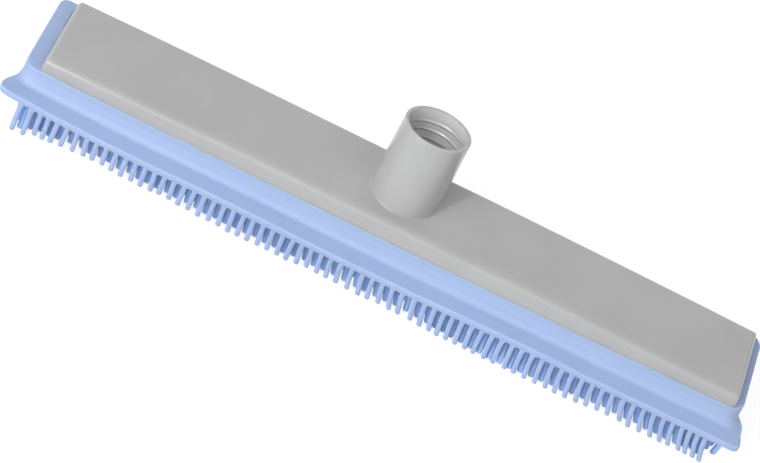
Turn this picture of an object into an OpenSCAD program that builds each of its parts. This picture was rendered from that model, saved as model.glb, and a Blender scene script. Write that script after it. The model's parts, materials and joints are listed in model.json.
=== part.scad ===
// Rubber broom head: a hard cap with a tilted handle socket, pressed into a soft rubber head
// that has a flared front lip and a field of tapered fingers. The fingers' tips stand on z = 0.
// +X runs along the head, -Y is the front with the lip, and +Z points up.

/* [Rubber block] */
// Length of the block between its end walls
block_len = 340; // [290:1:500]
// Depth of the block from its front wall to its back wall, at the ends
block_depth = 51; // [50.6:0.1:90]
// Height of the block above the lip
block_rise = 7.6; // [6:0.1:20]
// Rubber between the fingers' roots and the floor of the pocket
block_floor = 6.4; // [5.5:0.1:9]
// Bow of the long sides in the middle of the head
side_bow = 0.5; // [0:0.1:3]
// Rounding of the block's upper edge
shoulder_r = 1.6; // [0.5:0.1:3]
// Plan radius of the block's front corners
front_corner_r = 5; // [3:0.1:10]
// Plan radius of the block's back corners
back_corner_r = 6.5; // [3:0.1:10]

/* [Front lip] */
// How far the lip reaches in front of the block
lip_reach = 10.2; // [6:0.1:25]
// Thickness of the lip at its front edge
lip_t = 3.4; // [3:0.1:8]
// How far each end of the lip flares out past the block
lip_flare = 5; // [2:0.1:12]
// Length of each flare, measured from the front edge back
flare_depth = 15; // [10:0.1:30]
// Extra bow of the lip's front edge
lip_bow = 1; // [0:0.1:3]
// Rounding of the lip's upper edge
lip_edge_r = 1.4; // [0.3:0.1:1.4]
// Plan radius of the lip's front corners
lip_corner_r = 2.4; // [1:0.1:5]
// Hollow rounding between the lip and the block's front wall
lip_root_r = 3.6; // [0.5:0.1:3.8]
// How much the lip's top rises from its edge to the block
lip_rise = 0.6; // [0.2:0.1:2]

/* [Fingers] */
// Length of the fingers below the head
finger_len = 14.8; // [8:0.1:25]
// Thickness of a finger at its root
finger_root = 2.3; // [1.2:0.1:3]
// Thickness of a finger at its tip
finger_tip = 1.5; // [0.8:0.1:2.2]
// Distance between neighbours in a row
finger_pitch = 4.67; // [4:0.01:8]
// Number of rows from front to back
finger_rows = 7; // [5:1:7]
// Step from the lip's front edge back to the first row
finger_step = 0.2; // [0.1:0.1:1]
// Distance from the block's end walls to the first and last finger
finger_margin = 5.5; // [4:0.1:12]
// Distance from the back wall to the last row
back_margin = 3.2; // [2:0.1:8]
// Largest sideways lean of a fingertip
finger_lean = 0.7; // [0:0.05:0.9]
// How much is cut off each tip to leave it flat
tip_cut = 0.5; // [0.3:0.1:1]
// Thickness of the rubber that carries the fingers
root_t = 2; // [1.5:0.1:2.5]

/* [Cap] */
// Rubber past each end of the cap, with the cap in the middle
cap_end = 5.5; // [5:0.1:12]
// Rubber in front of the cap, up to the block's front wall
cap_front = 2.4; // [2:0.1:6]
// Rubber behind the cap, up to the block's back wall
cap_back = 3.8; // [3:0.1:6]
// How far the cap sits off centre, to the right
cap_shift = 1.6; // [-2:0.1:2]
// Height of the cap above the rubber, at its ends
cap_rise = 7.8; // [6:0.1:20]
// How much higher the cap's top is in the middle than at its ends
cap_crown = 1.3; // [0.5:0.1:3]
// How much the cap's walls lean in from the rubber to the top
cap_draft = 1.5; // [0:0.1:2]
// Rounding of the cap's upper edge
cap_edge_r = 3; // [0.6:0.1:3.2]
// Plan radius of the cap's corners
cap_corner_r = 2.6; // [2:0.1:6]
// Thickness of the cap's side walls and top
cap_wall = 2.4; // [1.8:0.1:4]
// Thickness of the ribs between the cells
rib_t = 1.6; // [1:0.1:3]
// Number of cells along the cap
cell_cols = 13; // [9:1:20]
// Number of cells across the cap
cell_rows = 2; // [2:1:3]
// Plan radius inside the corners of a cell
cell_r = 1.5; // [0.5:0.1:3]
// Free gap all round between the cap's skirt and the pocket
fit_gap = 0.2; // [0.1:0.05:0.3]

/* [Handle socket] */
// Outside diameter at the mouth
socket_d = 30.5; // [28:0.1:34]
// Outside diameter at the foot
socket_foot_d = 30.8; // [29:0.1:33]
// Length along its axis from the cap to the mouth
socket_len = 34.2; // [25:0.1:60]
// Backward tilt from upright, in degrees
socket_tilt = 10; // [0:0.5:20]
// How far the foot's centre lies behind the middle of the cap
socket_back = 1.9; // [0:0.1:3]
// How far the foot's centre lies to the right of the middle of the cap
socket_shift = -2.2; // [-2.5:0.1:2.5]
// Diameter of the bore, at the roots of its thread
bore_d = 27.2; // [24:0.1:27.4]
// Depth of the bore from the mouth
bore_depth = 30; // [15:0.1:30]
// Hollow rounding where the socket meets the cap
foot_r = 1.5; // [0.5:0.1:2]
// Chamfer round the mouth, inside and outside
mouth_chamfer = 0.35; // [0.1:0.05:0.5]

/* [Hidden] */

cap_grey = [0.68, 0.68, 0.68];
rubber_blue = [0.60, 0.70, 0.88];

// Levels above the floor
lip_top = finger_len + lip_t;
block_top = lip_top + block_rise;
pocket_floor = finger_len + block_floor;
root_top = finger_len + root_t;
cap_top = block_top + cap_rise;
crown_top = cap_top + cap_crown;
cell_top = cap_top - cap_wall;

// Places from front to back: the whole outline is centred on y = 0
outline_depth = block_depth + lip_reach + 2 * side_bow + lip_bow;
back_y = outline_depth / 2 - side_bow;
wall_y = back_y - block_depth;
lip_y = wall_y - lip_reach;

// The cap where it enters the rubber
cap_len = block_len - 2 * cap_end;
cap_depth = block_depth - cap_front - cap_back;
cap_y = wall_y + cap_front + cap_depth / 2;
socket_y = cap_y + socket_back;

// Steps that draw the curves
bow_steps = 7;
corner_steps = 6;
flare_steps = 8;
round_steps = 5;
foot_steps = 5;
foot_sweep = 60;
foot_sink = 1;
top_corner_r = 0.4;
golden_angle = 137.5;
overlap = 0.5;
far = 2 * outline_depth;

// A point list is a plan outline, built for the right half and mirrored for the left.
function mirrored(pts) = [for (i = [len(pts) - 1 : -1 : 0]) [-pts[i][0], pts[i][1]]];
function bow(x, half, rise) = rise * (1 - pow(x / half, 2));
function arc(cx, cy, r, from, to) =
    [for (i = [0 : corner_steps]) let (a = from + (to - from) * i / corner_steps)
        [cx + r * cos(a), cy + r * sin(a)]];

// Plan outline with bowed long sides and round corners. In steps over the length run, the side
// line swings out by flare towards the front edge.
function outline(half, y0, y1, r0, r1, bow0, bow1, flare = 0, run = 1, steps = 1) =
    let (
        tip = half + flare,
        side_end = y0 + r0,
        front = [for (i = [0 : bow_steps - 1]) let (x = (tip - r0) * i / bow_steps)
            [x, y0 - bow(x, tip - r0, bow0)]],
        side = [for (i = [1 : steps]) let (t = i / steps)
            [half + flare * sin(90 * (1 - t)), side_end + run * t]],
        back = [for (i = [bow_steps - 1 : -1 : 0]) let (x = (half - r1) * i / bow_steps)
            [x, y1 + bow(x, half - r1, bow1)]],
        right = concat(front, arc(tip - r0, y0 + r0, r0, -90, 0), side,
            arc(half - r1, y1 - r1, r1, 0, 90), back),
        left = mirrored(right)
    )
    concat(right, [for (i = [1 : len(left) - 2]) left[i]]);

function level(z, pts) = [for (p = pts) [p[0], p[1], z]];

// Closed skin over a stack of rings of points. The cover holds the faces that close the last ring.
module loft(rings, cover = []) {
    n = len(rings[0]);
    top = len(rings) - 1;
    points = [for (ring = rings) each ring];
    bottom_face = [for (i = [0 : n - 1]) i];
    flat_cover = [[for (i = [n - 1 : -1 : 0]) i]];
    top_faces = [for (face = (cover == [] ? flat_cover : cover)) [for (i = face) top * n + i]];
    sides = [for (k = [0 : top - 1]) for (i = [0 : n - 1])
        let (a = k * n + i, b = k * n + (i + 1) % n) each [[a, a + n, b + n], [a, b + n, b]]];
    polyhedron(points, concat([bottom_face], top_faces, sides));
}

function head_ring(z, ahead, flare, inset, bow0, r0) =
    level(z, outline(block_len / 2 - inset, wall_y - ahead, back_y - inset, r0,
        back_corner_r - inset, bow0, side_bow, flare, flare_depth, flare_steps));

// The lip's ring, drawn in from its front edge and its flares
function lip_ring(z, drawn_in) =
    head_ring(z, lip_reach - drawn_in, lip_flare - drawn_in, 0,
        side_bow + lip_bow, lip_corner_r - drawn_in);

function cap_outline(grow) =
    let (r = max(cap_corner_r + grow, top_corner_r))
    outline(cap_len / 2 + grow, cap_y - cap_depth / 2 - grow, cap_y + cap_depth / 2 + grow,
        r, r, side_bow, side_bow, 0, cap_depth / 2);

module rubber_head() {
    round_angles = [for (i = [0 : round_steps]) 90 * i / round_steps];
    root_z = lip_top + lip_rise;
    lip_rings = [for (a = round_angles)
        lip_ring(lip_top - lip_edge_r * (1 - sin(a)), lip_edge_r * (1 - cos(a)))];
    hollow_rings = [for (a = round_angles) let (ahead = lip_root_r * (1 - sin(a)))
        head_ring(root_z + lip_root_r * (1 - cos(a)), ahead, 0, 0, side_bow,
            front_corner_r + ahead)];
    shoulder_rings = [for (a = round_angles) let (inset = shoulder_r * (1 - cos(a)))
        head_ring(block_top - shoulder_r * (1 - sin(a)), -inset, 0, inset, side_bow,
            front_corner_r - inset)];
    color(rubber_blue) difference() {
        loft(concat([lip_ring(root_top, 0)], lip_rings, hollow_rings, shoulder_rings));
        translate([cap_shift, 0, pocket_floor])
            linear_extrude(cap_top) polygon(cap_outline(fit_gap));
    }
}

// Rows in the front strip and in the back one
front_rows = 2;
back_rows = 2;

// Where a finger's root lies: rows follow the bow of the lip and straighten towards the back.
row_run = block_len - 2 * finger_margin;
row_count = floor(row_run / finger_pitch) + 1;
first_row_y = lip_y + finger_root / 2 + finger_step;
last_row_y = back_y - back_margin - finger_root / 2;
row_pitch = (last_row_y - first_row_y) / (finger_rows - 1);

function row_fingers(row) = row_count - row % 2;
function finger_x(row, i) = (i - (row_fingers(row) - 1) / 2) * finger_pitch;
function finger_y(row, x) =
    first_row_y + row * row_pitch
    - bow(x, row_run / 2, side_bow + lip_bow) * (1 - row / (finger_rows - 1));

// A finger's square ring of four corners about a centre
function square_ring(x, y, z, size) =
    [for (c = [[-1, -1], [1, -1], [1, 1], [-1, 1]]) [x + c[0] * size / 2, y + c[1] * size / 2, z]];

// The eight corners of one finger, from its tip below the floor up into the rubber. Its lean
// is spread by the golden angle, so that no two neighbours match.
function finger_corners(row, i) =
    let (
        x = finger_x(row, i),
        y = finger_y(row, x),
        turn = golden_angle * (i + row * row_count),
        grow = (finger_root - finger_tip) / finger_len
    )
    concat(
        square_ring(x + finger_lean * sin(turn), y + finger_lean * cos(turn) / 2, -tip_cut,
            finger_tip - grow * tip_cut),
        square_ring(x, y, finger_len + overlap, finger_root + grow * overlap)
    );

finger_faces = [[0, 1, 2], [0, 2, 3], [4, 6, 5], [4, 7, 6],
    for (a = [0 : 3]) let (b = (a + 1) % 4) each [[a, a + 4, b + 4], [a, b + 4, b]]];

// One row of fingers, as closed solids side by side
module finger_row(row) {
    count = row_fingers(row);
    points = [for (i = [0 : count - 1]) each finger_corners(row, i)];
    faces = [for (i = [0 : count - 1]) for (f = finger_faces) [for (c = f) c + 8 * i]];
    polyhedron(points, faces);
}

// A strip of the head's underside with its rows of fingers, cut flat where they stand
module finger_strip(first, last) {
    from = first == 0 ? -far : first_row_y + (first - 0.5) * row_pitch;
    to = last == finger_rows - 1 ? far : first_row_y + (last + 0.5) * row_pitch;
    color(rubber_blue) difference() {
        union() {
            translate([0, 0, finger_len]) linear_extrude(root_t) intersection() {
                polygon([for (p = lip_ring(0, 0)) [p[0], p[1]]]);
                translate([-block_len, from]) square([2 * block_len, to - from]);
            }
            for (row = [first : last]) finger_row(row);
        }
        translate([-block_len, -far, -far]) cube([2 * block_len, 2 * far, far]);
    }
}

module front_fingers() finger_strip(0, front_rows - 1);
module middle_fingers() finger_strip(front_rows, finger_rows - back_rows - 1);
module back_fingers() finger_strip(finger_rows - back_rows, finger_rows - 1);

// The cap's crown: a level stretch under the socket, then a fall that ends at the corners, so
// that each strip of the top between the front and back edges is a plane
edge_in = cap_draft * (cap_rise - cap_edge_r) / cap_rise;
top_in = edge_in + cap_edge_r;
crown_end = cap_len / 2 - top_in - max(cap_corner_r - top_in, top_corner_r);
crown_flat = crown_end / bow_steps;
function crown(x) =
    let (fall = max(0, abs(x) - crown_flat) / (crown_end - crown_flat))
    cap_crown * (1 - pow(min(fall, 1), 2));
function crowned(z, pts) = [for (p = pts) [p[0], p[1], z + crown(p[0])]];

// Faces of the crowned top: strips to the right and to the left, then one face at each end
function top_strips(n) =
    let (mid = n / 2)
    concat(
        [for (i = [0 : bow_steps - 1]) [mid - i, mid - i - 1, i + 1, i]],
        [for (i = [0 : bow_steps - 1]) [(n - i) % n, n - i - 1, mid + i + 1, mid + i]],
        [[for (i = [mid - bow_steps : -1 : bow_steps]) i]],
        [[for (i = [n - bow_steps : -1 : mid + bow_steps]) i]]
    );

// Outer form of the cap: an upright skirt in the rubber, then drafted walls, a round edge and
// the crowned top
module cap_body() {
    edge_z = cap_top - cap_edge_r;
    edge_rings = [for (i = [0 : round_steps]) let (a = 90 * i / round_steps)
        crowned(edge_z + cap_edge_r * sin(a),
            cap_outline(-edge_in - cap_edge_r * (1 - cos(a))))];
    skirt_rings = [level(pocket_floor, cap_outline(0)), level(block_top, cap_outline(0))];
    loft(concat(skirt_rings, edge_rings), top_strips(len(cap_outline(0))));
}

module round_cell(w, d, r, h) {
    linear_extrude(h) {
        translate([-w / 2 + r, -d / 2]) square([w - 2 * r, d]);
        translate([-w / 2, -d / 2 + r]) square([w, d - 2 * r]);
        for (x = [-1, 1], y = [-1, 1])
            translate([x * (w / 2 - r), y * (d / 2 - r)]) circle(r, $fn = 32);
    }
}

// The cells that hollow the cap from below and leave its ribs standing
module cap_cells() {
    inner = cap_wall + cap_draft;
    pitch_x = (cap_len - 2 * inner + rib_t) / cell_cols;
    pitch_y = (cap_depth - 2 * inner + rib_t) / cell_rows;
    for (i = [0 : cell_cols - 1], j = [0 : cell_rows - 1])
        translate([(i - (cell_cols - 1) / 2) * pitch_x, cap_y + (j - (cell_rows - 1) / 2) * pitch_y,
                pocket_floor - overlap])
            round_cell(pitch_x - rib_t, pitch_y - rib_t, cell_r, cell_top - pocket_floor + overlap);
}

// Frame at the socket's foot, with z along its tilted axis
module on_socket_axis() {
    translate([socket_shift, socket_y, crown_top]) rotate([-socket_tilt, 0, 0]) children();
}

module socket_barrel() {
    sunk = socket_foot_d / 2 * tan(socket_tilt) + 1;
    c = mouth_chamfer;
    intersection() {
        on_socket_axis() rotate_extrude($fn = 96) polygon([
            [0, -sunk], [socket_foot_d / 2, -sunk], [socket_foot_d / 2, 0],
            [socket_d / 2, socket_len - c], [socket_d / 2 - c, socket_len], [0, socket_len]
        ]);
        translate([-far, -far, crown_top - 1]) cube(2 * far);
    }
}

module socket_bore() {
    r = bore_d / 2;
    c = mouth_chamfer;
    on_socket_axis() rotate_extrude($fn = 96) polygon([
        [0, socket_len - bore_depth], [r, socket_len - bore_depth], [r, socket_len - c],
        [r + c + overlap, socket_len + overlap], [0, socket_len + overlap]
    ]);
}

// Hollow rounding round the foot, upright like the cap. It closes inside the barrel.
module socket_foot() {
    level_r = socket_foot_d / 4 * (1 + 1 / cos(socket_tilt));
    hollow = [for (i = [0 : foot_steps]) let (a = foot_sweep * i / foot_steps)
        [level_r + foot_r * (1 - sin(a)), foot_r * (1 - cos(a))]];
    translate([socket_shift, socket_y, crown_top]) rotate_extrude($fn = 96) polygon(concat(
        [[0, -overlap], [level_r + foot_r, -overlap]], hollow,
        [[level_r - foot_sink, foot_r], [0, foot_r]]
    ));
}

module cap() {
    color(cap_grey) translate([cap_shift, 0, 0]) difference() {
        union() {
            cap_body();
            socket_foot();
            socket_barrel();
        }
        cap_cells();
        socket_bore();
    }
}

cap();
rubber_head();
front_fingers();
middle_fingers();
back_fingers();
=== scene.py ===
import json
import math
import random

import bpy
from mathutils import Matrix, Vector
from mathutils.geometry import delaunay_2d_cdt


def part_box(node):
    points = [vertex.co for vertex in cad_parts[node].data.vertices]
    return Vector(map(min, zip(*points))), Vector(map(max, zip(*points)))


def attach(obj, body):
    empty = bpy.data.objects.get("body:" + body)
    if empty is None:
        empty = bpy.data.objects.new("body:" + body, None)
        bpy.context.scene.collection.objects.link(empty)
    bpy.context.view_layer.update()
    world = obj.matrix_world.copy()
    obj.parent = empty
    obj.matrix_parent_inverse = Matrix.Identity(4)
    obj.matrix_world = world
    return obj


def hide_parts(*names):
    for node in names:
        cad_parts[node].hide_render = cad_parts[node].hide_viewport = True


# Rubber broom head: a hard grey cap with a threaded handle socket, pressed into a soft blue
# head with fingers. Sizes in the dictionaries are millimetres and angles are degrees.

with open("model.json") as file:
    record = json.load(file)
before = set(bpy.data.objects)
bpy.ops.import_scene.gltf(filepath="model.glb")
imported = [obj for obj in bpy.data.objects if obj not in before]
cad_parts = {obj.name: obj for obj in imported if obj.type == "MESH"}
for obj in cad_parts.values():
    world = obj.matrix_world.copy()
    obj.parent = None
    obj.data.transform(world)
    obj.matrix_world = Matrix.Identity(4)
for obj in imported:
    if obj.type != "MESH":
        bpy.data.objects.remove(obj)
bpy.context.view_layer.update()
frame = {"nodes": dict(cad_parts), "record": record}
mm = 0.001
print("frame loaded:", ", ".join(sorted(frame["nodes"])))


# Geometry helpers

def nodeBox(name):
    low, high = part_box(name)
    return low / mm, high / mm


def bow(x, half, rise):
    return rise * (1 - (x / half) ** 2)


def quarter(steps):
    # Sine and cosine over a quarter turn, for roundings
    return [(math.sin(a), math.cos(a)) for a in (math.pi / 2 * i / steps for i in range(steps + 1))]


def arcPoints(cx, cy, radius, start, end, steps=10):
    turns = [math.radians(start + (end - start) * i / steps) for i in range(steps + 1)]
    return [(cx + radius * math.cos(a), cy + radius * math.sin(a)) for a in turns]


def halfOutline(half, frontY, backY, frontR, backR, frontBow, backBow, flare, run):
    # Right half of an outline seen from above: bowed long sides, round corners, and an end that
    # swings out to the front
    bowSteps, flareSteps = 30, 16
    tip = half + flare
    frontHalf, backHalf = tip - frontR, half - backR
    right = []
    for i in range(bowSteps):
        x = frontHalf * i / bowSteps
        right.append((x, frontY - bow(x, frontHalf, frontBow)))
    right += arcPoints(frontHalf, frontY + frontR, frontR, -90, 0)
    for i in range(1, flareSteps + 1):
        t = i / flareSteps
        right.append((half + flare * math.sin(math.pi / 2 * (1 - t)), frontY + frontR + run * t))
    right += arcPoints(backHalf, backY - backR, backR, 0, 90)
    for i in range(bowSteps - 1, -1, -1):
        x = backHalf * i / bowSteps
        right.append((x, backY + bow(x, backHalf, backBow)))
    return right


def joinHalves(right, left):
    return right + [(-x, y) for x, y in reversed(left[1:-1])]


def curveAt(t, start, pull, end):
    # On the way from start to end, drawn towards pull
    return start * (1 - t) ** 2 + pull * 2 * t * (1 - t) + end * t ** 2


def ringSkin(rings):
    # Closed skin over rings of points, from the first to the last
    count = len(rings[0])
    points = [p for ring in rings for p in ring]
    faces = [list(range(count))[::-1]]
    for k in range(len(rings) - 1):
        for i in range(count):
            a, b = k * count + i, k * count + (i + 1) % count
            faces.append([a, b, b + count, a + count])
    faces.append([(len(rings) - 1) * count + i for i in range(count)])
    return points, faces


def knotValue(knots, x, column):
    # Smooth value between given knots, each (x, value, value, ...)
    if x <= knots[0][0]:
        return knots[0][column]
    for low, high in zip(knots, knots[1:]):
        if x <= high[0]:
            t = (x - low[0]) / (high[0] - low[0])
            t = t * t * (3 - 2 * t)
            return low[column] + (high[column] - low[column]) * t
    return knots[-1][column]


def makePiece(name, points, faces, material, smoothAngle=50):
    mesh = bpy.data.meshes.new(name)
    mesh.from_pydata([(x * mm, y * mm, z * mm) for x, y, z in points], [], faces)
    mesh.update()
    mesh.shade_smooth()
    mesh.set_sharp_from_angle(angle=math.radians(smoothAngle))
    mesh.materials.append(material)
    piece = bpy.data.objects.new(name, mesh)
    bpy.context.scene.collection.objects.link(piece)
    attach(piece, "root")
    return piece


# Shader helpers and shared effects

def addNode(tree, kind, inputs=None, **settings):
    node = tree.nodes.new(kind)
    for key, value in settings.items():
        setattr(node, key, value)
    for key, value in (inputs or {}).items():
        node.inputs[key].default_value = value
    return node


def newEffect(name, inputs, outputs):
    # Empty node group: inputs are (name, default), outputs are (name, socket kind)
    tree = bpy.data.node_groups.new(name, "ShaderNodeTree")
    for label, default in inputs:
        kind = "NodeSocketColor" if isinstance(default, tuple) else "NodeSocketFloat"
        tree.interface.new_socket(name=label, in_out="INPUT", socket_type=kind).default_value = default
    for label, kind in outputs:
        tree.interface.new_socket(name=label, in_out="OUTPUT", socket_type=kind)
    return tree, addNode(tree, "NodeGroupInput"), addNode(tree, "NodeGroupOutput")


# Where most values of a noise texture lie
cloudRange = {"From Min": 0.3, "From Max": 0.7}


def mottleEffect():
    # Uneven colour of a moulding: broad cloudy patches, lighter and darker
    tree, given, result = newEffect(
        "mottle",
        [("Color", (0.8, 0.8, 0.8, 1)), ("Contrast", 0.05), ("Patches", 30.0)],
        [("Color", "NodeSocketColor"), ("Mask", "NodeSocketFloat")],
    )
    place = addNode(tree, "ShaderNodeTexCoord")
    clouds = addNode(tree, "ShaderNodeTexNoise", {"Detail": 4.0, "Roughness": 0.55})
    spread = addNode(tree, "ShaderNodeMapRange", {**cloudRange, "To Min": -1.0})
    gain = addNode(tree, "ShaderNodeMath", {2: 1.0}, operation="MULTIPLY_ADD")
    tint = addNode(tree, "ShaderNodeVectorMath", operation="SCALE")
    wire = tree.links.new
    wire(place.outputs["Object"], clouds.inputs["Vector"])
    wire(given.outputs["Patches"], clouds.inputs["Scale"])
    wire(clouds.outputs["Fac"], spread.inputs["Value"])
    wire(spread.outputs["Result"], gain.inputs[0])
    wire(given.outputs["Contrast"], gain.inputs[1])
    wire(given.outputs["Color"], tint.inputs[0])
    wire(gain.outputs[0], tint.inputs["Scale"])
    wire(tint.outputs[0], result.inputs["Color"])
    wire(clouds.outputs["Fac"], result.inputs["Mask"])
    return tree


def grainEffect():
    # Fine grain of the mould's surface, with a few broader ripples
    tree, given, result = newEffect(
        "mouldGrain",
        [("Grain", 2500.0), ("Ripple", 60.0), ("Ripple Share", 0.3)],
        [("Height", "NodeSocketFloat")],
    )
    place = addNode(tree, "ShaderNodeTexCoord")
    fine = addNode(tree, "ShaderNodeTexNoise", {"Detail": 3.0, "Roughness": 0.6})
    broad = addNode(tree, "ShaderNodeTexNoise", {"Detail": 2.0})
    both = addNode(tree, "ShaderNodeMix", data_type="FLOAT")
    wire = tree.links.new
    wire(place.outputs["Object"], fine.inputs["Vector"])
    wire(place.outputs["Object"], broad.inputs["Vector"])
    wire(given.outputs["Grain"], fine.inputs["Scale"])
    wire(given.outputs["Ripple"], broad.inputs["Scale"])
    wire(given.outputs["Ripple Share"], both.inputs["Factor"])
    wire(fine.outputs["Fac"], both.inputs["A"])
    wire(broad.outputs["Fac"], both.inputs["B"])
    wire(both.outputs["Result"], result.inputs["Height"])
    return tree


def scuffEffect():
    # Sparse faint marks from handling, drawn out in one direction
    tree, given, result = newEffect(
        "scuffs",
        [("Marks", 90.0), ("Sparse", 0.68)],
        [("Mask", "NodeSocketFloat")],
    )
    place = addNode(tree, "ShaderNodeTexCoord")
    turn = addNode(tree, "ShaderNodeMapping", {"Rotation": (0.3, 0.2, 0.7), "Scale": (1.0, 3.5, 2.0)})
    marks = addNode(tree, "ShaderNodeTexNoise", {"Detail": 6.0, "Roughness": 0.7, "Distortion": 0.4})
    # A mark fades in over a tenth of the noise's range
    limit = addNode(tree, "ShaderNodeMath", {1: 0.1}, operation="ADD")
    cut = addNode(tree, "ShaderNodeMapRange", interpolation_type="SMOOTHSTEP")
    wire = tree.links.new
    wire(place.outputs["Object"], turn.inputs["Vector"])
    wire(turn.outputs["Vector"], marks.inputs["Vector"])
    wire(given.outputs["Marks"], marks.inputs["Scale"])
    wire(given.outputs["Sparse"], limit.inputs[0])
    wire(given.outputs["Sparse"], cut.inputs["From Min"])
    wire(limit.outputs[0], cut.inputs["From Max"])
    wire(marks.outputs["Fac"], cut.inputs["Value"])
    wire(cut.outputs["Result"], result.inputs["Mask"])
    return tree


effects = {"mottle": mottleEffect(), "grain": grainEffect(), "scuffs": scuffEffect()}


def placeEffect(tree, name, **inputs):
    node = addNode(tree, "ShaderNodeGroup", node_tree=effects[name])
    for key, value in inputs.items():
        node.inputs[key].default_value = value
    return node


# Shader inputs that take a look's value as it is
plainInputs = {
    "IOR": "ior", "Specular IOR Level": "shine", "Coat Weight": "coat",
    "Coat Roughness": "coatRoughness", "Subsurface Weight": "scatter",
    "Subsurface Radius": "scatterRadius",
}


def mouldedMaterial(look):
    # Satin moulding: mottled colour, pale scuffs, uneven roughness and a fine grain
    material = bpy.data.materials.new(look["name"])
    material.use_nodes = True
    tree = material.node_tree
    wire = tree.links.new
    shader = tree.nodes["Principled BSDF"]
    for label, key in plainInputs.items():
        shader.inputs[label].default_value = look[key]
    shader.inputs["Subsurface Scale"].default_value = mm

    color = (*look["color"], 1)
    mottle = placeEffect(tree, "mottle", Color=color, Contrast=look["mottle"], Patches=look["patches"])
    scuffs = placeEffect(tree, "scuffs", Marks=look["marks"], Sparse=look["sparse"])
    grain = placeEffect(tree, "grain", Grain=look["grain"], Ripple=look["ripple"])
    faint = addNode(tree, "ShaderNodeMath", {1: look["scuffStrength"]}, operation="MULTIPLY")
    pale = addNode(tree, "ShaderNodeMix", data_type="RGBA")
    pale.inputs["B"].default_value = (*look["scuffColor"], 1)
    wire(scuffs.outputs["Mask"], faint.inputs[0])
    wire(faint.outputs[0], pale.inputs["Factor"])
    wire(mottle.outputs["Color"], pale.inputs["A"])
    wire(pale.outputs["Result"], shader.inputs["Base Color"])

    low, high = look["roughness"]
    rough = addNode(tree, "ShaderNodeMapRange", {**cloudRange, "To Min": low, "To Max": high})
    wire(mottle.outputs["Mask"], rough.inputs["Value"])
    wire(rough.outputs["Result"], shader.inputs["Roughness"])

    bump = addNode(tree, "ShaderNodeBump", {"Strength": look["bump"], "Distance": look["bumpDepth"] * mm})
    wire(grain.outputs["Height"], bump.inputs["Height"])
    wire(bump.outputs["Normal"], shader.inputs["Normal"])
    return material


capLook = {
    "name": "capPlastic", "color": (0.408, 0.408, 0.408), "mottle": 0.035, "patches": 38.0,
    "ior": 1.49, "shine": 0.5, "roughness": (0.42, 0.5), "coat": 1.0, "coatRoughness": 0.07,
    "scatter": 0.5, "scatterRadius": (3.0, 3.0, 3.0),
    "marks": 70.0, "sparse": 0.7, "scuffStrength": 0.12, "scuffColor": (0.62, 0.62, 0.62),
    "grain": 3200.0, "ripple": 45.0, "bump": 0.12, "bumpDepth": 0.25,
}
# In the bore the plastic is painted paler than the cap: painted light standing in for light reaching deep
# into the bore. Light also spreads further inside it
borePaintedLightLook = {
    **capLook, "name": "borePaintedLightPlastic", "color": (0.52, 0.52, 0.52),
    "scatter": 1.0, "scatterRadius": (7.0, 7.0, 7.0),
}
# The thin thread is painted nearly as pale as the bore's plastic, painted light for the shade in the bore;
# no light spreads inside it
threadPaintedLightLook = {**borePaintedLightLook, "name": "threadPaintedLightPlastic", "color": (0.5, 0.5, 0.5), "scatter": 0.0}
rubberLook = {
    "name": "headRubber", "color": (0.317, 0.423, 0.665), "mottle": 0.02, "patches": 30.0,
    "ior": 1.5, "shine": 1.0, "roughness": (0.56, 0.64), "coat": 0.5, "coatRoughness": 0.55,
    "scatter": 0.5, "scatterRadius": (0.8, 1.3, 3.2),
    "marks": 50.0, "sparse": 0.72, "scuffStrength": 0.08, "scuffColor": (0.5, 0.6, 0.8),
    "grain": 2600.0, "ripple": 50.0, "bump": 0.1, "bumpDepth": 0.3,
}
# Behind the front row the same rubber is painted a paler, deeper blue, painted light for the blue bounce
# light between the fingers, and it is less shiny
innerPaintedLightLook = {
    **rubberLook, "name": "innerPaintedLightRubber", "color": (0.38, 0.57, 0.96), "shine": 0.4, "coat": 0.0,
}
capPlastic = mouldedMaterial(capLook)
borePaintedLightPlastic = mouldedMaterial(borePaintedLightLook)
threadPaintedLightPlastic = mouldedMaterial(threadPaintedLightLook)
headRubber = mouldedMaterial(rubberLook)
innerPaintedLightRubber = mouldedMaterial(innerPaintedLightLook)
print("materials ready")


# Rubber head: lip with flared ends, block with a pocket, bead round the cap

headLow, headHigh = nodeBox("rubber_head")
head = {
    "blockDepth": 49.4, "sideBow": 0.5, "wallBow": 1.1, "shoulderIn": 0.4, "shoulderDrop": 0.8,
    "lipReach": 11.8, "lipBow": 1.5, "lipT": 3.4, "lipFlare": 5.0, "lipEdgeR": 1.0, "underR": 0.9,
    "lipRise": 0.5, "hollowRun": 5.0, "hollowRise": 2.8, "wallLean": 2.7,
    "frontCornerR": 7.0, "hollowTighter": 3.0, "leastRun": 4.0,
    "rootSlice": 2.6, "blockFloor": 7.0, "rimDepth": 1.0, "fitGap": 0.05,
    "beadRise": 0.3, "beadWidth": 0.3,
    "underSteps": 4, "edgeSteps": 7, "bendSteps": 12, "beadSteps": 8,
}
# The soft ends differ a little: corner radii, and how far back the flares reach
headEnds = {
    "right": {
        "lipCornerR": 2.6, "backCornerR": 6.5, "flareBack": 17.0, "hollowBack": 19.0, "hollowFlare": 3.7,
    },
    "left": {
        "lipCornerR": 4.2, "backCornerR": 4.2, "flareBack": 15.1, "hollowBack": 15.0, "hollowFlare": 1.4,
    },
}
# Waves of the soft lip along its length: x, height
lipWaves = [
    (-174, 1.8), (-163, 1.1), (-152, 0.3), (-142, 0.0), (-128, -0.4), (-103, -0.45), (-77, 0.15),
    (-51, 0.15), (-33, -0.3), (20, -0.1), (45, 0.35), (60, 0.7), (85, 0.6), (103, 0.0),
]
blockHalf = headHigh.x - head["lipFlare"]
blockTop = headHigh.z
underside = headLow.z - head["rootSlice"]
lipTop = underside + head["lipT"]
pocketFloor = underside + head["blockFloor"]
backY = headHigh.y - head["sideBow"]
wallY = backY - head["blockDepth"]
lipY = wallY - head["lipReach"]

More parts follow.
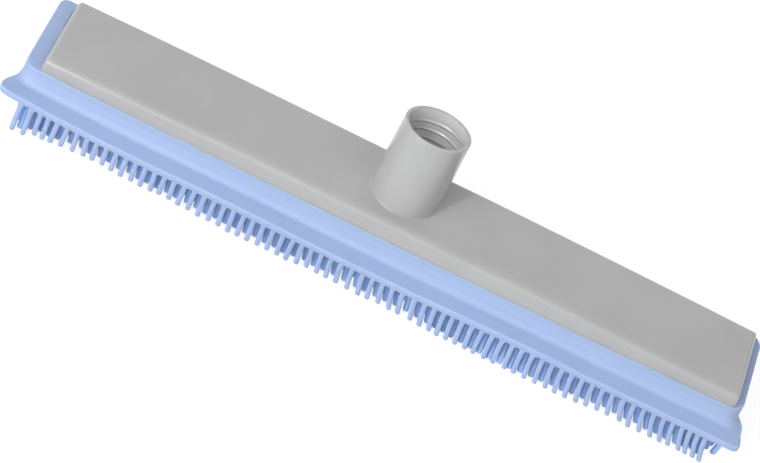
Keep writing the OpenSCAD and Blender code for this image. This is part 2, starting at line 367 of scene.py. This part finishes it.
cap = {
    "endIn": 5.1, "front": 0.8, "back": 4.2, "shift": 1.6, "rise": 7.0, "edgeDrop": 2.3,
    "crown": 1.0, "crownParts": 7, "endLean": 1.3, "endRun": 2.3, "backLean": 1.2, "backRun": 2.2,
    "cornerR": 2.6, "topCornerR": 0.4, "wallShares": (0.06, 0.5, 0.94), "edgeSteps": 14,
}
# Along the front wall: x, how far it leans in up to the top, and the reach of its bend over the top
frontBends = [(-154, 0.2, 4.8), (-50, 1.9, 5.4), (60, 2.4, 6.4), (142, 0.5, 7.0)]
# Along the back edge: x, how far it stands out
backBulge = [(-160, 1.0), (0, 0.0)]
capHalf = blockHalf - cap["endIn"]
capFront, capBack = wallY + cap["front"], backY - cap["back"]
capTop = blockTop + cap["rise"]


def headRing(z, ahead, flare, inset, frontBow, frontR, backTo):
    # frontR gives the front corners' radius at an end, backTo how far back its flare reaches
    halves = []
    for end in (headEnds["right"], headEnds["left"]):
        r = frontR(end)
        run = max(lipY + backTo(end) - (wallY - ahead + r), head["leastRun"])
        halves.append(halfOutline(
            blockHalf - inset, wallY - ahead, backY - inset, r, end["backCornerR"] - inset,
            frontBow, head["sideBow"], flare(end), run,
        ))
    ring = []
    for x, y in joinHalves(*halves):
        share = min(max((wallY - y) / head["lipReach"], 0), 1)
        ring.append((x, y, z + share * knotValue(lipWaves, x, 1)))
    return ring


def lipRing(z, drawnIn):
    return headRing(
        z, head["lipReach"] - drawnIn, lambda end: head["lipFlare"] - drawnIn, 0, head["lipBow"],
        lambda end: end["lipCornerR"] - drawnIn, lambda end: end["flareBack"],
    )


def blockRing(z, ahead, spread, inset, frontR):
    return headRing(
        z, ahead, lambda end: end["hollowFlare"] * spread, inset, head["wallBow"],
        lambda end: frontR, lambda end: end["hollowBack"],
    )


def capOutline(grow):
    r = max(cap["cornerR"] + grow, cap["topCornerR"])
    half = halfOutline(
        capHalf + grow, capFront - grow, capBack + grow, r, r, head["wallBow"], head["sideBow"],
        0, (capBack - capFront) / 2,
    )
    return joinHalves(half, half)


def capRing(z, grow):
    return [(x + cap["shift"], y, z) for x, y in capOutline(grow)]


def buildHead():
    rings = []
    for s, c in quarter(head["underSteps"]):
        rings.append(lipRing(underside + head["underR"] * (1 - c), head["underR"] * (1 - s)))
    for s, c in quarter(head["edgeSteps"]):
        rings.append(lipRing(lipTop - head["lipEdgeR"] * (1 - s), head["lipEdgeR"] * (1 - c)))
    # Tight hollow on the lip, then the leaning wall up to a small shoulder
    hollowZ = lipTop + head["lipRise"]
    bendTop = hollowZ + head["hollowRise"]
    shoulderZ = blockTop - head["shoulderDrop"]
    bendAhead = head["wallLean"] * (shoulderZ - bendTop) / (shoulderZ - hollowZ)
    for i in range(head["bendSteps"] + 1):
        t = i / head["bendSteps"]
        ahead = curveAt(t, head["hollowRun"], head["wallLean"], bendAhead)
        rings.append(blockRing(
            hollowZ + head["hollowRise"] * t ** 2, ahead, (1 - t) ** 2, 0,
            head["frontCornerR"] - head["hollowTighter"] * (1 - t),
        ))
    rings.append(blockRing((bendTop + shoulderZ) / 2, bendAhead / 2, 0, 0, head["frontCornerR"]))
    for s, c in quarter(head["edgeSteps"]):
        inset = head["shoulderIn"] * (1 - c)
        rings.append(blockRing(
            shoulderZ + head["shoulderDrop"] * s, -inset, 0, inset, head["frontCornerR"] - inset,
        ))
    # Bead round the cap, then the pocket down to its floor
    for i in range(head["beadSteps"] + 1):
        a = math.pi * i / head["beadSteps"]
        rings.append(capRing(
            blockTop + head["beadRise"] * math.sin(a),
            head["beadWidth"] * (1 + math.cos(a)) / 2,
        ))
    rings.append(capRing(blockTop - head["rimDepth"], head["fitGap"]))
    rings.append(capRing(pocketFloor, head["fitGap"]))
    points, faces = ringSkin(rings)
    piece = makePiece("rubberHead", points, faces, headRubber)
    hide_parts("rubber_head")


buildHead()
print("rubber head built")


# Cap: crowned top with round edges, one skin with the socket, its hollow foot and its bore

mount = frame["record"]["mounts"][0]
socket = {
    "footR": 15.75, "mouthR": 15.25, "mouthUp": 14.2, "foot": 0.7, "mouthRound": 0.45,
    "boreR": mount["dims"]["r_mm"], "boreDepth": 30.0, "boreFloorR": 1.2,
    "sides": 96, "footSteps": 6, "barrelSteps": 8, "boreSteps": 8, "roundSteps": 4,
}
socketAxis = Vector(mount["axis"])
socketSlope = math.tan(math.acos(socketAxis.z))
socketSide = Vector((1, 0, 0))
socketBack = socketAxis.cross(socketSide)
# The foot is where the mount's axis meets the cap's top
mountPoint = Vector(mount["pos_m"]) / mm
mountUp = (mountPoint.z - capTop - cap["crown"]) / socketAxis.z
socketFoot = mountPoint - socketAxis * mountUp
socket["length"] = mountUp + socket["mouthUp"]
topGrid = {"columns": 44, "rows": 7, "clear": 3.0, "reach": 6.0}


def socketPoint(angle, radius, along):
    out = socketSide * math.cos(angle) + socketBack * math.sin(angle)
    return tuple(socketFoot + out * radius + socketAxis * along)


def crownAt(x):
    # Level over the middle part, under the socket, then a parabola that ends at the corners
    end = capHalf - cap["endLean"] - cap["endRun"] - cap["topCornerR"]
    flat = end / cap["crownParts"]
    fall = min(1, max(0, abs(x - cap["shift"]) - flat) / (end - flat))
    return cap["crown"] * (1 - fall ** 2)


def bendAt(t, lean, run, rise):
    # Inset and height on the way from the top of a leaning wall, round the edge, to the top face
    start = lean * (rise - cap["edgeDrop"]) / rise
    return curveAt(t, start, lean, lean + run), rise - cap["edgeDrop"] * (1 - t) ** 2


def capWallRing(share, t):
    # Ring of the walls, with share from 0 to 1 up to the edge, then t from 0 to 1 round the edge
    ring = []
    straight = capBack - capFront - 2 * cap["cornerR"]
    for i, (x, y) in enumerate(capOutline(0)):
        rise = cap["rise"] + crownAt(x + cap["shift"])
        insetX, height = bendAt(t, cap["endLean"], cap["endRun"], rise)
        frontInset = bendAt(t, knotValue(frontBends, x, 1), knotValue(frontBends, x, 2), rise)[0]
        backInset = bendAt(t, cap["backLean"] - knotValue(backBulge, x, 1), cap["backRun"], rise)[0]
        # Along an end the inset goes over from the front's to the back's
        past = min(max((y - capFront - cap["cornerR"]) / straight, 0), 1)
        insetY = frontInset + (backInset - frontInset) * past
        px, py = capOutline(-insetX * share)[i][0], capOutline(-insetY * share)[i][1]
        ring.append((px + cap["shift"], py, blockTop + height * share))
    return ring


def footAt(angle):
    # How far along the axis the barrel's side meets the level top
    return socket["footR"] * math.sin(angle) * socketSlope


def socketRings():
    # Foot, barrel, mouth and bore, each ring with the same number of points; and how many strips
    # of faces between rings belong to the bore
    angles = [2 * math.pi * i / socket["sides"] for i in range(socket["sides"])]
    rings = []
    for step in range(socket["footSteps"] + 1):
        ring = []
        for a in angles:
            corner = Vector(socketPoint(a, socket["footR"], footAt(a)))
            start = corner + Vector((math.cos(a), math.sin(a), 0)) * socket["foot"]
            end = corner + socketAxis * socket["foot"]
            ring.append(tuple(curveAt(step / socket["footSteps"], start, corner, end)))
        rings.append(ring)
    edge = socket["mouthRound"]
    for step in range(1, socket["barrelSteps"] + 1):
        t = step / socket["barrelSteps"]
        radius = socket["footR"] + (socket["mouthR"] - socket["footR"]) * t
        ring = []
        for a in angles:
            low = footAt(a) + socket["foot"]
            ring.append(socketPoint(a, radius, low + (socket["length"] - edge - low) * t))
        rings.append(ring)
    length, boreR, floorR = socket["length"], socket["boreR"], socket["boreFloorR"]
    deep = length - socket["boreDepth"]
    rounding = quarter(socket["roundSteps"])
    mouth = [(socket["mouthR"] - edge * (1 - c), length - edge * (1 - s)) for s, c in rounding[1:]]
    mouth += [(boreR + edge * (1 - s), length - edge * (1 - c)) for s, c in rounding]
    steps = socket["boreSteps"]
    bore = [(boreR, length + (deep + floorR - length) * i / steps) for i in range(1, steps)]
    bore += [(boreR - floorR * (1 - c), deep + floorR * (1 - s)) for s, c in rounding]
    for radius, along in mouth + bore:
        rings.append([socketPoint(a, radius, along) for a in angles])
    return rings, len(bore)


def topFaces(points, outer, hole):
    # Triangles between the top's outline and the socket's foot, over a regular grid
    left, right = min(p[0] for p in outer), max(p[0] for p in outer)
    middle = (capFront + capBack) / 2
    inner = []
    for column in range(1, topGrid["columns"]):
        x = left + (right - left) * column / topGrid["columns"]
        near = [p[1] for p in outer if abs(p[0] - x) < topGrid["reach"]]
        low, high = max(y for y in near if y < middle), min(y for y in near if y > middle)
        for row in range(1, topGrid["rows"]):
            y = low + (high - low) * row / topGrid["rows"]
            away = math.hypot(x - socketFoot.x, y - socketFoot.y)
            if away > socket["footR"] + socket["foot"] + topGrid["clear"]:
                inner.append((x, y, capTop + crownAt(x)))
    first = len(points)
    points.extend(inner)
    ids = [p[3] for p in outer] + [p[3] for p in hole] + list(range(first, len(points)))
    flat = [Vector((points[i][0], points[i][1])) for i in ids]
    n, m = len(outer), len(hole)
    edges = [(i, (i + 1) % n) for i in range(n)] + [(n + i, n + (i + 1) % m) for i in range(m)]
    insideOnly, tolerance = 1, 1e-7
    spots, _, tris, origins, _, _ = delaunay_2d_cdt(flat, edges, [], insideOnly, tolerance)
    origin = [ids[o[0]] for o in origins]
    holeIds = {p[3] for p in hole}
    faces = []
    for tri in tris:
        if all(origin[i] in holeIds for i in tri):
            continue
        a, b, c = (spots[i] for i in tri)
        order = tri if (b - a).cross(c - a) > 0 else tri[::-1]
        faces.append([origin[i] for i in order])
    return faces


def buildCap():
    rings = [capRing(z, 0) for z in (pocketFloor, blockTop - head["rimDepth"], blockTop)]
    rings += [capWallRing(share, 0) for share in cap["wallShares"]]
    rings += [capWallRing(1, step / cap["edgeSteps"]) for step in range(cap["edgeSteps"] + 1)]
    points, faces = ringSkin(rings)
    # The face over the last ring gives way to the top round the socket's foot
    faces.pop()
    count = len(rings[0])
    outer = [(*points[i], i) for i in range(len(points) - count, len(points))]
    start = len(points)
    tube, boreStrips = socketRings()
    tubePoints, tubeFaces = ringSkin(tube)
    points.extend(tubePoints)
    faces += [[i + start for i in face] for face in tubeFaces[1:]]
    # The bore's strips and its floor are the last of these faces
    boreEnd = len(faces)
    boreStart = boreEnd - socket["sides"] * boreStrips - 1
    hole = [(*points[i], i) for i in range(start, start + socket["sides"])]
    faces += topFaces(points, outer, hole)
    piece = makePiece("plasticCap", points, faces, capPlastic, smoothAngle=40)
    # The bore's faces take the paler plastic: painted light in the bore
    piece.data.materials.append(borePaintedLightPlastic)
    for face in piece.data.polygons[boreStart:boreEnd]:
        face.material_index = 1
    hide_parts("cap")


buildCap()
print("cap built")


# Fingers: staggered rows of soft fingers with round ends, under the head

fingers = {
    "rows": 14, "firstX": -163.4, "pitch": 4.62, "frontCount": 71, "frontGap": 0.04,
    "secondRow": 3.7, "backMargin": 3.2, "sideMargin": 1.2, "frontRoom": 0.05, "flushGap": 0.02,
    "rootR": 1.22, "tipR": 1.12, "domeH": 1.0, "flareR": 0.25, "sunk": 2.2, "square": 3.2,
    "innerScale": 1.12, "bend": 1.4, "restLift": 0.45, "liftPerReach": 0.4,
    "seed": 7, "swayJitter": 0.22, "aheadShare": 0.7, "liftJitter": 0.2, "radiusJitter": 0.03,
    "outerRows": 2, "outerSides": 16, "innerSides": 12, "shaftSteps": 4, "roundSteps": 3,
}
# From front to back: the piece, the node that it stands for, and its rows
fingerStrips = [
    ("frontFingers", "front_fingers", range(0, 4)),
    ("middleFingers", "middle_fingers", range(4, 10)),
    ("backFingers", "back_fingers", range(10, fingers["rows"])),
]
# Along the head: x, drift of the root, sideways sway of the tip, forward sway of the tip
swayKnots = [
    (-163, 0.0, 0.15, 2.1), (-159, 0.45, 0.15, 1.5), (-154, 0.05, 0.1, -0.8), (-146, -1.1, -0.1, -0.8),
    (-140, -1.0, -0.4, -1.8), (-134, -0.8, 0.2, -2.1), (-122, -1.0, 0.3, -2.2), (-112, -0.9, 0.4, -1.4),
    (-90, -1.4, 0.5, -1.6), (-76, -1.15, 0.5, -0.8), (-50, -1.1, 0.9, -0.8), (-34, -0.95, 0.8, -0.6),
    (-28, -1.3, 1.1, -1.65), (-12, -1.4, 1.3, -1.2), (-3, -0.4, 1.7, -0.7), (16, -0.1, 2.0, -1.0),
    (21.5, 1.25, 1.8, -0.5), (32, 1.2, 2.1, 0.1), (43, 0.35, 1.5, 0.65), (50, 0.35, 1.25, 1.6),
    (60, 0.6, 1.2, 2.6), (72, 1.0, 1.5, 2.6), (79, 1.3, 1.8, 1.5), (90, 1.5, 2.1, 0.9),
    (112, 2.5, 2.4, -0.5), (122, 3.4, 3.1, -0.1), (137, 3.7, 3.4, 0.3), (146, 3.4, 3.5, 0.4),
    (151, 2.4, 3.5, 0.4), (160, 0.4, 3.2, 0.25), (164, 0.0, -0.2, 0.0), (168, 0.0, -1.1, 0.4),
]


def frontLine(x):
    frontHalf = blockHalf + head["lipFlare"] - headEnds["right" if x > 0 else "left"]["lipCornerR"]
    return lipY - bow(min(abs(x), frontHalf), frontHalf, head["lipBow"])


def halfWidthAt(y):
    # Half the head's length at a depth, over the flared ends
    end = headEnds["left"]
    t = (y - lipY - end["lipCornerR"]) / (end["flareBack"] - end["lipCornerR"])
    t = min(max(t, 0), 1)
    return blockHalf + head["lipFlare"] * math.sin(math.pi / 2 * (1 - t))


def addFinger(points, faces, x, y, sway, lift, scale, sides, flush):
    rootR, tipR = fingers["rootR"] * scale, fingers["tipR"] * scale
    flare = fingers["flareR"]
    tipStart = lift + fingers["domeH"]
    shaftTop = underside - flare
    rounding = quarter(fingers["roundSteps"])
    rings = [(underside + fingers["sunk"], rootR + flare)]
    rings += [(underside - flare * (1 - c), rootR + flare * (1 - s)) for s, c in rounding]
    for i in range(1, fingers["shaftSteps"] + 1):
        t = i / fingers["shaftSteps"]
        rings.append((shaftTop + (tipStart - shaftTop) * t, rootR + (tipR - rootR) * t))
    for s, c in rounding[1:-1]:
        rings.append((tipStart - fingers["domeH"] * s, tipR * c))
    start = len(points)
    length = underside - lift
    for z, radius in rings + [(lift, 0)]:
        t = max(0, (underside - z) / length) ** fingers["bend"]
        cx, cy = x + sway[0] * t, y + sway[1] * t
        if radius == 0:
            points.append((cx, cy, z))
            break
        for i in range(sides):
            # Section between a circle and a square
            a = 2 * math.pi * (i + 0.5) / sides
            n = fingers["square"]
            reach = radius / (abs(math.cos(a)) ** n + abs(math.sin(a)) ** n) ** (1 / n)
            px, py = cx + reach * math.cos(a), cy + reach * math.sin(a)
            if flush and z >= shaftTop:
                py = max(py, frontLine(px) + fingers["flushGap"])
            points.append((px, py, z))
    faces.append([start + i for i in range(sides)])
    for k in range(len(rings) - 1):
        for i in range(sides):
            a, b = start + k * sides + i, start + k * sides + (i + 1) % sides
            faces.append([a, a + sides, b + sides, b])
    last, pole = start + (len(rings) - 1) * sides, len(points) - 1
    for i in range(sides):
        faces.append([last + i, pole, last + (i + 1) % sides])


def buildFingers():
    chance = random.Random(fingers["seed"])
    firstY = lipY + fingers["rootR"] + fingers["frontGap"]
    lastY = backY - fingers["backMargin"] - fingers["rootR"]
    second = firstY + fingers["secondRow"]
    rowStep = (lastY - second) / (fingers["rows"] - 2)
    total = 0
    for name, node, rows in fingerStrips:
        points, faces = [], []
        frontFaces = 0
        for row in rows:
            outer = row < fingers["outerRows"]
            sides = fingers["outerSides"] if outer else fingers["innerSides"]
            rowY = second + (row - 1) * rowStep if row else firstY
            i = 0
            while True:
                grid = fingers["firstX"] + fingers["pitch"] * (i + row % 2 / 2)
                x = grid + knotValue(swayKnots, grid, 1)
                share = row / (fingers["rows"] - 1)
                y = rowY - bow(x, blockHalf, head["lipBow"]) * (1 - share)
                widest = halfWidthAt(y) - fingers["rootR"] - fingers["sideMargin"]
                if x > widest or (outer and i >= fingers["frontCount"] - row):
                    break
                side = knotValue(swayKnots, grid, 2) + chance.gauss(0, fingers["swayJitter"])
                ahead = knotValue(swayKnots, grid, 3)
                ahead += chance.gauss(0, fingers["swayJitter"] * fingers["aheadShare"])
                room = y - fingers["tipR"] - headLow.y - fingers["frontRoom"]
                lift = fingers["restLift"] - fingers["liftPerReach"] * ahead
                lift = max(0, lift + chance.gauss(0, fingers["liftJitter"]))
                scale = 1 + chance.uniform(-1, 1) * fingers["radiusJitter"]
                scale *= fingers["innerScale"] if row else 1
                addFinger(points, faces, x, y, (side, -min(ahead, room)), lift, scale, sides, row == 0)
                i += 1
                total += 1
            if row == 0:
                frontFaces = len(faces)
        piece = makePiece(name, points, faces, headRubber, smoothAngle=60)
        # Rows behind the front one take the paler blue rubber: painted bounce light
        piece.data.materials.append(innerPaintedLightRubber)
        for face in piece.data.polygons[frontFaces:]:
            face.material_index = 1
        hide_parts(node)
    return total


print("fingers built:", buildFingers())


# Socket thread: one round-crested ridge winding down the bore

thread = {
    "pitch": 4.2, "height": 0.42, "rootWidth": 2.2, "sunk": 0.15, "crestSteps": 5,
    "firstDepth": 5.35, "turns": 5.3, "stepsPerTurn": 72,
    "fadeTurns": 0.25, "endHeight": 0.02, "endWidth": 0.4,
}


def buildThread():
    halfRoot, crest = thread["rootWidth"] / 2, thread["crestSteps"]
    profile = [(-thread["sunk"], -halfRoot)]
    for k in range(1 - crest, crest):
        profile.append(((1 + math.cos(math.pi * k / crest)) / 2, halfRoot * k / crest))
    profile.append((-thread["sunk"], halfRoot))
    steps = int(thread["turns"] * thread["stepsPerTurn"])
    fadeSteps = thread["stepsPerTurn"] * thread["fadeTurns"]
    endHeight, endWidth = thread["endHeight"], thread["endWidth"]
    rings = []
    for i in range(steps + 1):
        # Lower and narrower towards both ends
        fade = min(1, i / fadeSteps, (steps - i) / fadeSteps)
        fade = endHeight + (1 - endHeight) * fade * fade * (3 - 2 * fade)
        turn = i / thread["stepsPerTurn"]
        depth = thread["firstDepth"] + thread["pitch"] * turn
        ring = []
        for rise, along in profile:
            inward = rise * thread["height"] * fade if rise > 0 else rise
            down = depth + along * (endWidth + (1 - endWidth) * fade)
            ring.append(socketPoint(2 * math.pi * turn, socket["boreR"] - inward, socket["length"] - down))
        rings.append(ring)
    points, faces = ringSkin(rings[::-1])
    # The thread takes the paler plastic: painted light in the bore
    makePiece("socketThread", points, faces, threadPaintedLightPlastic, smoothAngle=70)


buildThread()
print("socket thread built")


# Stage, light and camera

# The floor has one grey for light that it throws back and another, lifted, for what is seen of it
stage = {
    "floorSize": 12000, "floorColor": 0.95, "seenColor": 0.25, "floorLift": 0.86,
    "floorRoughness": 0.9, "fill": 0.36,
}


def seenDirectly(tree):
    # 1 for rays that show the background: camera, glossy and transmission rays
    path = addNode(tree, "ShaderNodeLightPath")
    first = addNode(tree, "ShaderNodeMath", operation="MAXIMUM")
    second = addNode(tree, "ShaderNodeMath", operation="MAXIMUM")
    tree.links.new(path.outputs["Is Camera Ray"], first.inputs[0])
    tree.links.new(path.outputs["Is Glossy Ray"], first.inputs[1])
    tree.links.new(first.outputs[0], second.inputs[0])
    tree.links.new(path.outputs["Is Transmission Ray"], second.inputs[1])
    return second.outputs[0]


def buildStage():
    half = stage["floorSize"] / 2 * mm
    mesh = bpy.data.meshes.new("floor")
    corners = [(-half, -half, 0), (half, -half, 0), (half, half, 0), (-half, half, 0)]
    mesh.from_pydata(corners, [], [[0, 1, 2, 3]])
    floor = bpy.data.objects.new("floor", mesh)
    bpy.context.scene.collection.objects.link(floor)
    paper = bpy.data.materials.new("paleFloor")
    paper.use_nodes = True
    shader = paper.node_tree.nodes["Principled BSDF"]
    shader.inputs["Roughness"].default_value = stage["floorRoughness"]
    shader.inputs["Specular IOR Level"].default_value = 0.0
    shader.inputs["Emission Color"].default_value = (1, 1, 1, 1)
    seen = seenDirectly(paper.node_tree)
    shade = addNode(paper.node_tree, "ShaderNodeMix", data_type="RGBA")
    shade.inputs["A"].default_value = (*[stage["floorColor"]] * 3, 1)
    shade.inputs["B"].default_value = (*[stage["seenColor"]] * 3, 1)
    lift = addNode(paper.node_tree, "ShaderNodeMath", {1: stage["floorLift"]}, operation="MULTIPLY")
    paper.node_tree.links.new(seen, shade.inputs["Factor"])
    paper.node_tree.links.new(shade.outputs["Result"], shader.inputs["Base Color"])
    paper.node_tree.links.new(seen, lift.inputs[0])
    paper.node_tree.links.new(lift.outputs[0], shader.inputs["Emission Strength"])
    mesh.materials.append(paper)

    world = bpy.data.worlds.new("studio")
    world.use_nodes = True
    bpy.context.scene.world = world
    tree = world.node_tree
    level = addNode(tree, "ShaderNodeMapRange", {"To Min": stage["fill"], "To Max": 1.0})
    tree.links.new(seenDirectly(tree), level.inputs["Value"])
    sky = tree.nodes["Background"]
    sky.inputs["Color"].default_value = (1, 1, 1, 1)
    tree.links.new(level.outputs["Result"], sky.inputs["Strength"])


lamps = {
    "keyLight": {"azimuth": -34, "elevation": 36, "distance": 4800, "size": 3600, "watts": 152},
    "sideLight": {"azimuth": 62, "elevation": 48, "distance": 4800, "size": 2600, "watts": 23},
    "glintLight": {"azimuth": -33, "elevation": 37, "distance": 1500, "size": 50, "watts": 5.0},
}


def direction(azimuth, elevation):
    # Unit vector towards a viewer at that azimuth (0 is the front, -Y) and elevation
    a, e = math.radians(azimuth), math.radians(elevation)
    return Vector((math.sin(a) * math.cos(e), -math.cos(a) * math.cos(e), math.sin(e)))


def buildLamps():
    for name, lamp in lamps.items():
        light = bpy.data.lights.new(name, "AREA")
        light.shape = "DISK"
        light.size = lamp["size"] * mm
        light.energy = lamp["watts"]
        holder = bpy.data.objects.new(name, light)
        towards = direction(lamp["azimuth"], lamp["elevation"])
        holder.location = towards * lamp["distance"] * mm
        holder.rotation_mode = "QUATERNION"
        holder.rotation_quaternion = towards.to_track_quat("Z", "Y")
        bpy.context.scene.collection.objects.link(holder)


# The camera's place and focal length are fitted to the photograph
shot = {
    "azimuth": -3.849, "elevation": 43.0, "roll": 28.596, "distance": 1365.0,
    "aimX": -2.473, "aimZ": 12.003, "focalPixels": 3161.0, "imageWidth": 760,
    "sensorWidth": 36, "nearest": 50, "farthest": 20000,
}


def buildCamera():
    lens = bpy.data.cameras.new("camera")
    lens.sensor_width = shot["sensorWidth"]
    lens.lens = shot["sensorWidth"] * shot["focalPixels"] / shot["imageWidth"]
    lens.clip_start = shot["nearest"] * mm
    lens.clip_end = shot["farthest"] * mm
    camera = bpy.data.objects.new("camera", lens)
    back = direction(shot["azimuth"], shot["elevation"])
    level = Vector((0, 0, 1)).cross(back).normalized()
    upright = back.cross(level)
    roll = math.radians(shot["roll"])
    right = level * math.cos(roll) + upright * math.sin(roll)
    up = upright * math.cos(roll) - level * math.sin(roll)
    camera.rotation_mode = "QUATERNION"
    camera.rotation_quaternion = Matrix((right, up, back)).transposed().to_quaternion()
    camera.location = (Vector((shot["aimX"], 0, shot["aimZ"])) + back * shot["distance"]) * mm
    bpy.context.scene.collection.objects.link(camera)
    bpy.context.scene.camera = camera


buildStage()
buildLamps()
buildCamera()
bpy.context.scene.view_settings.view_transform = "Standard"
print("stage, lamps and camera ready")
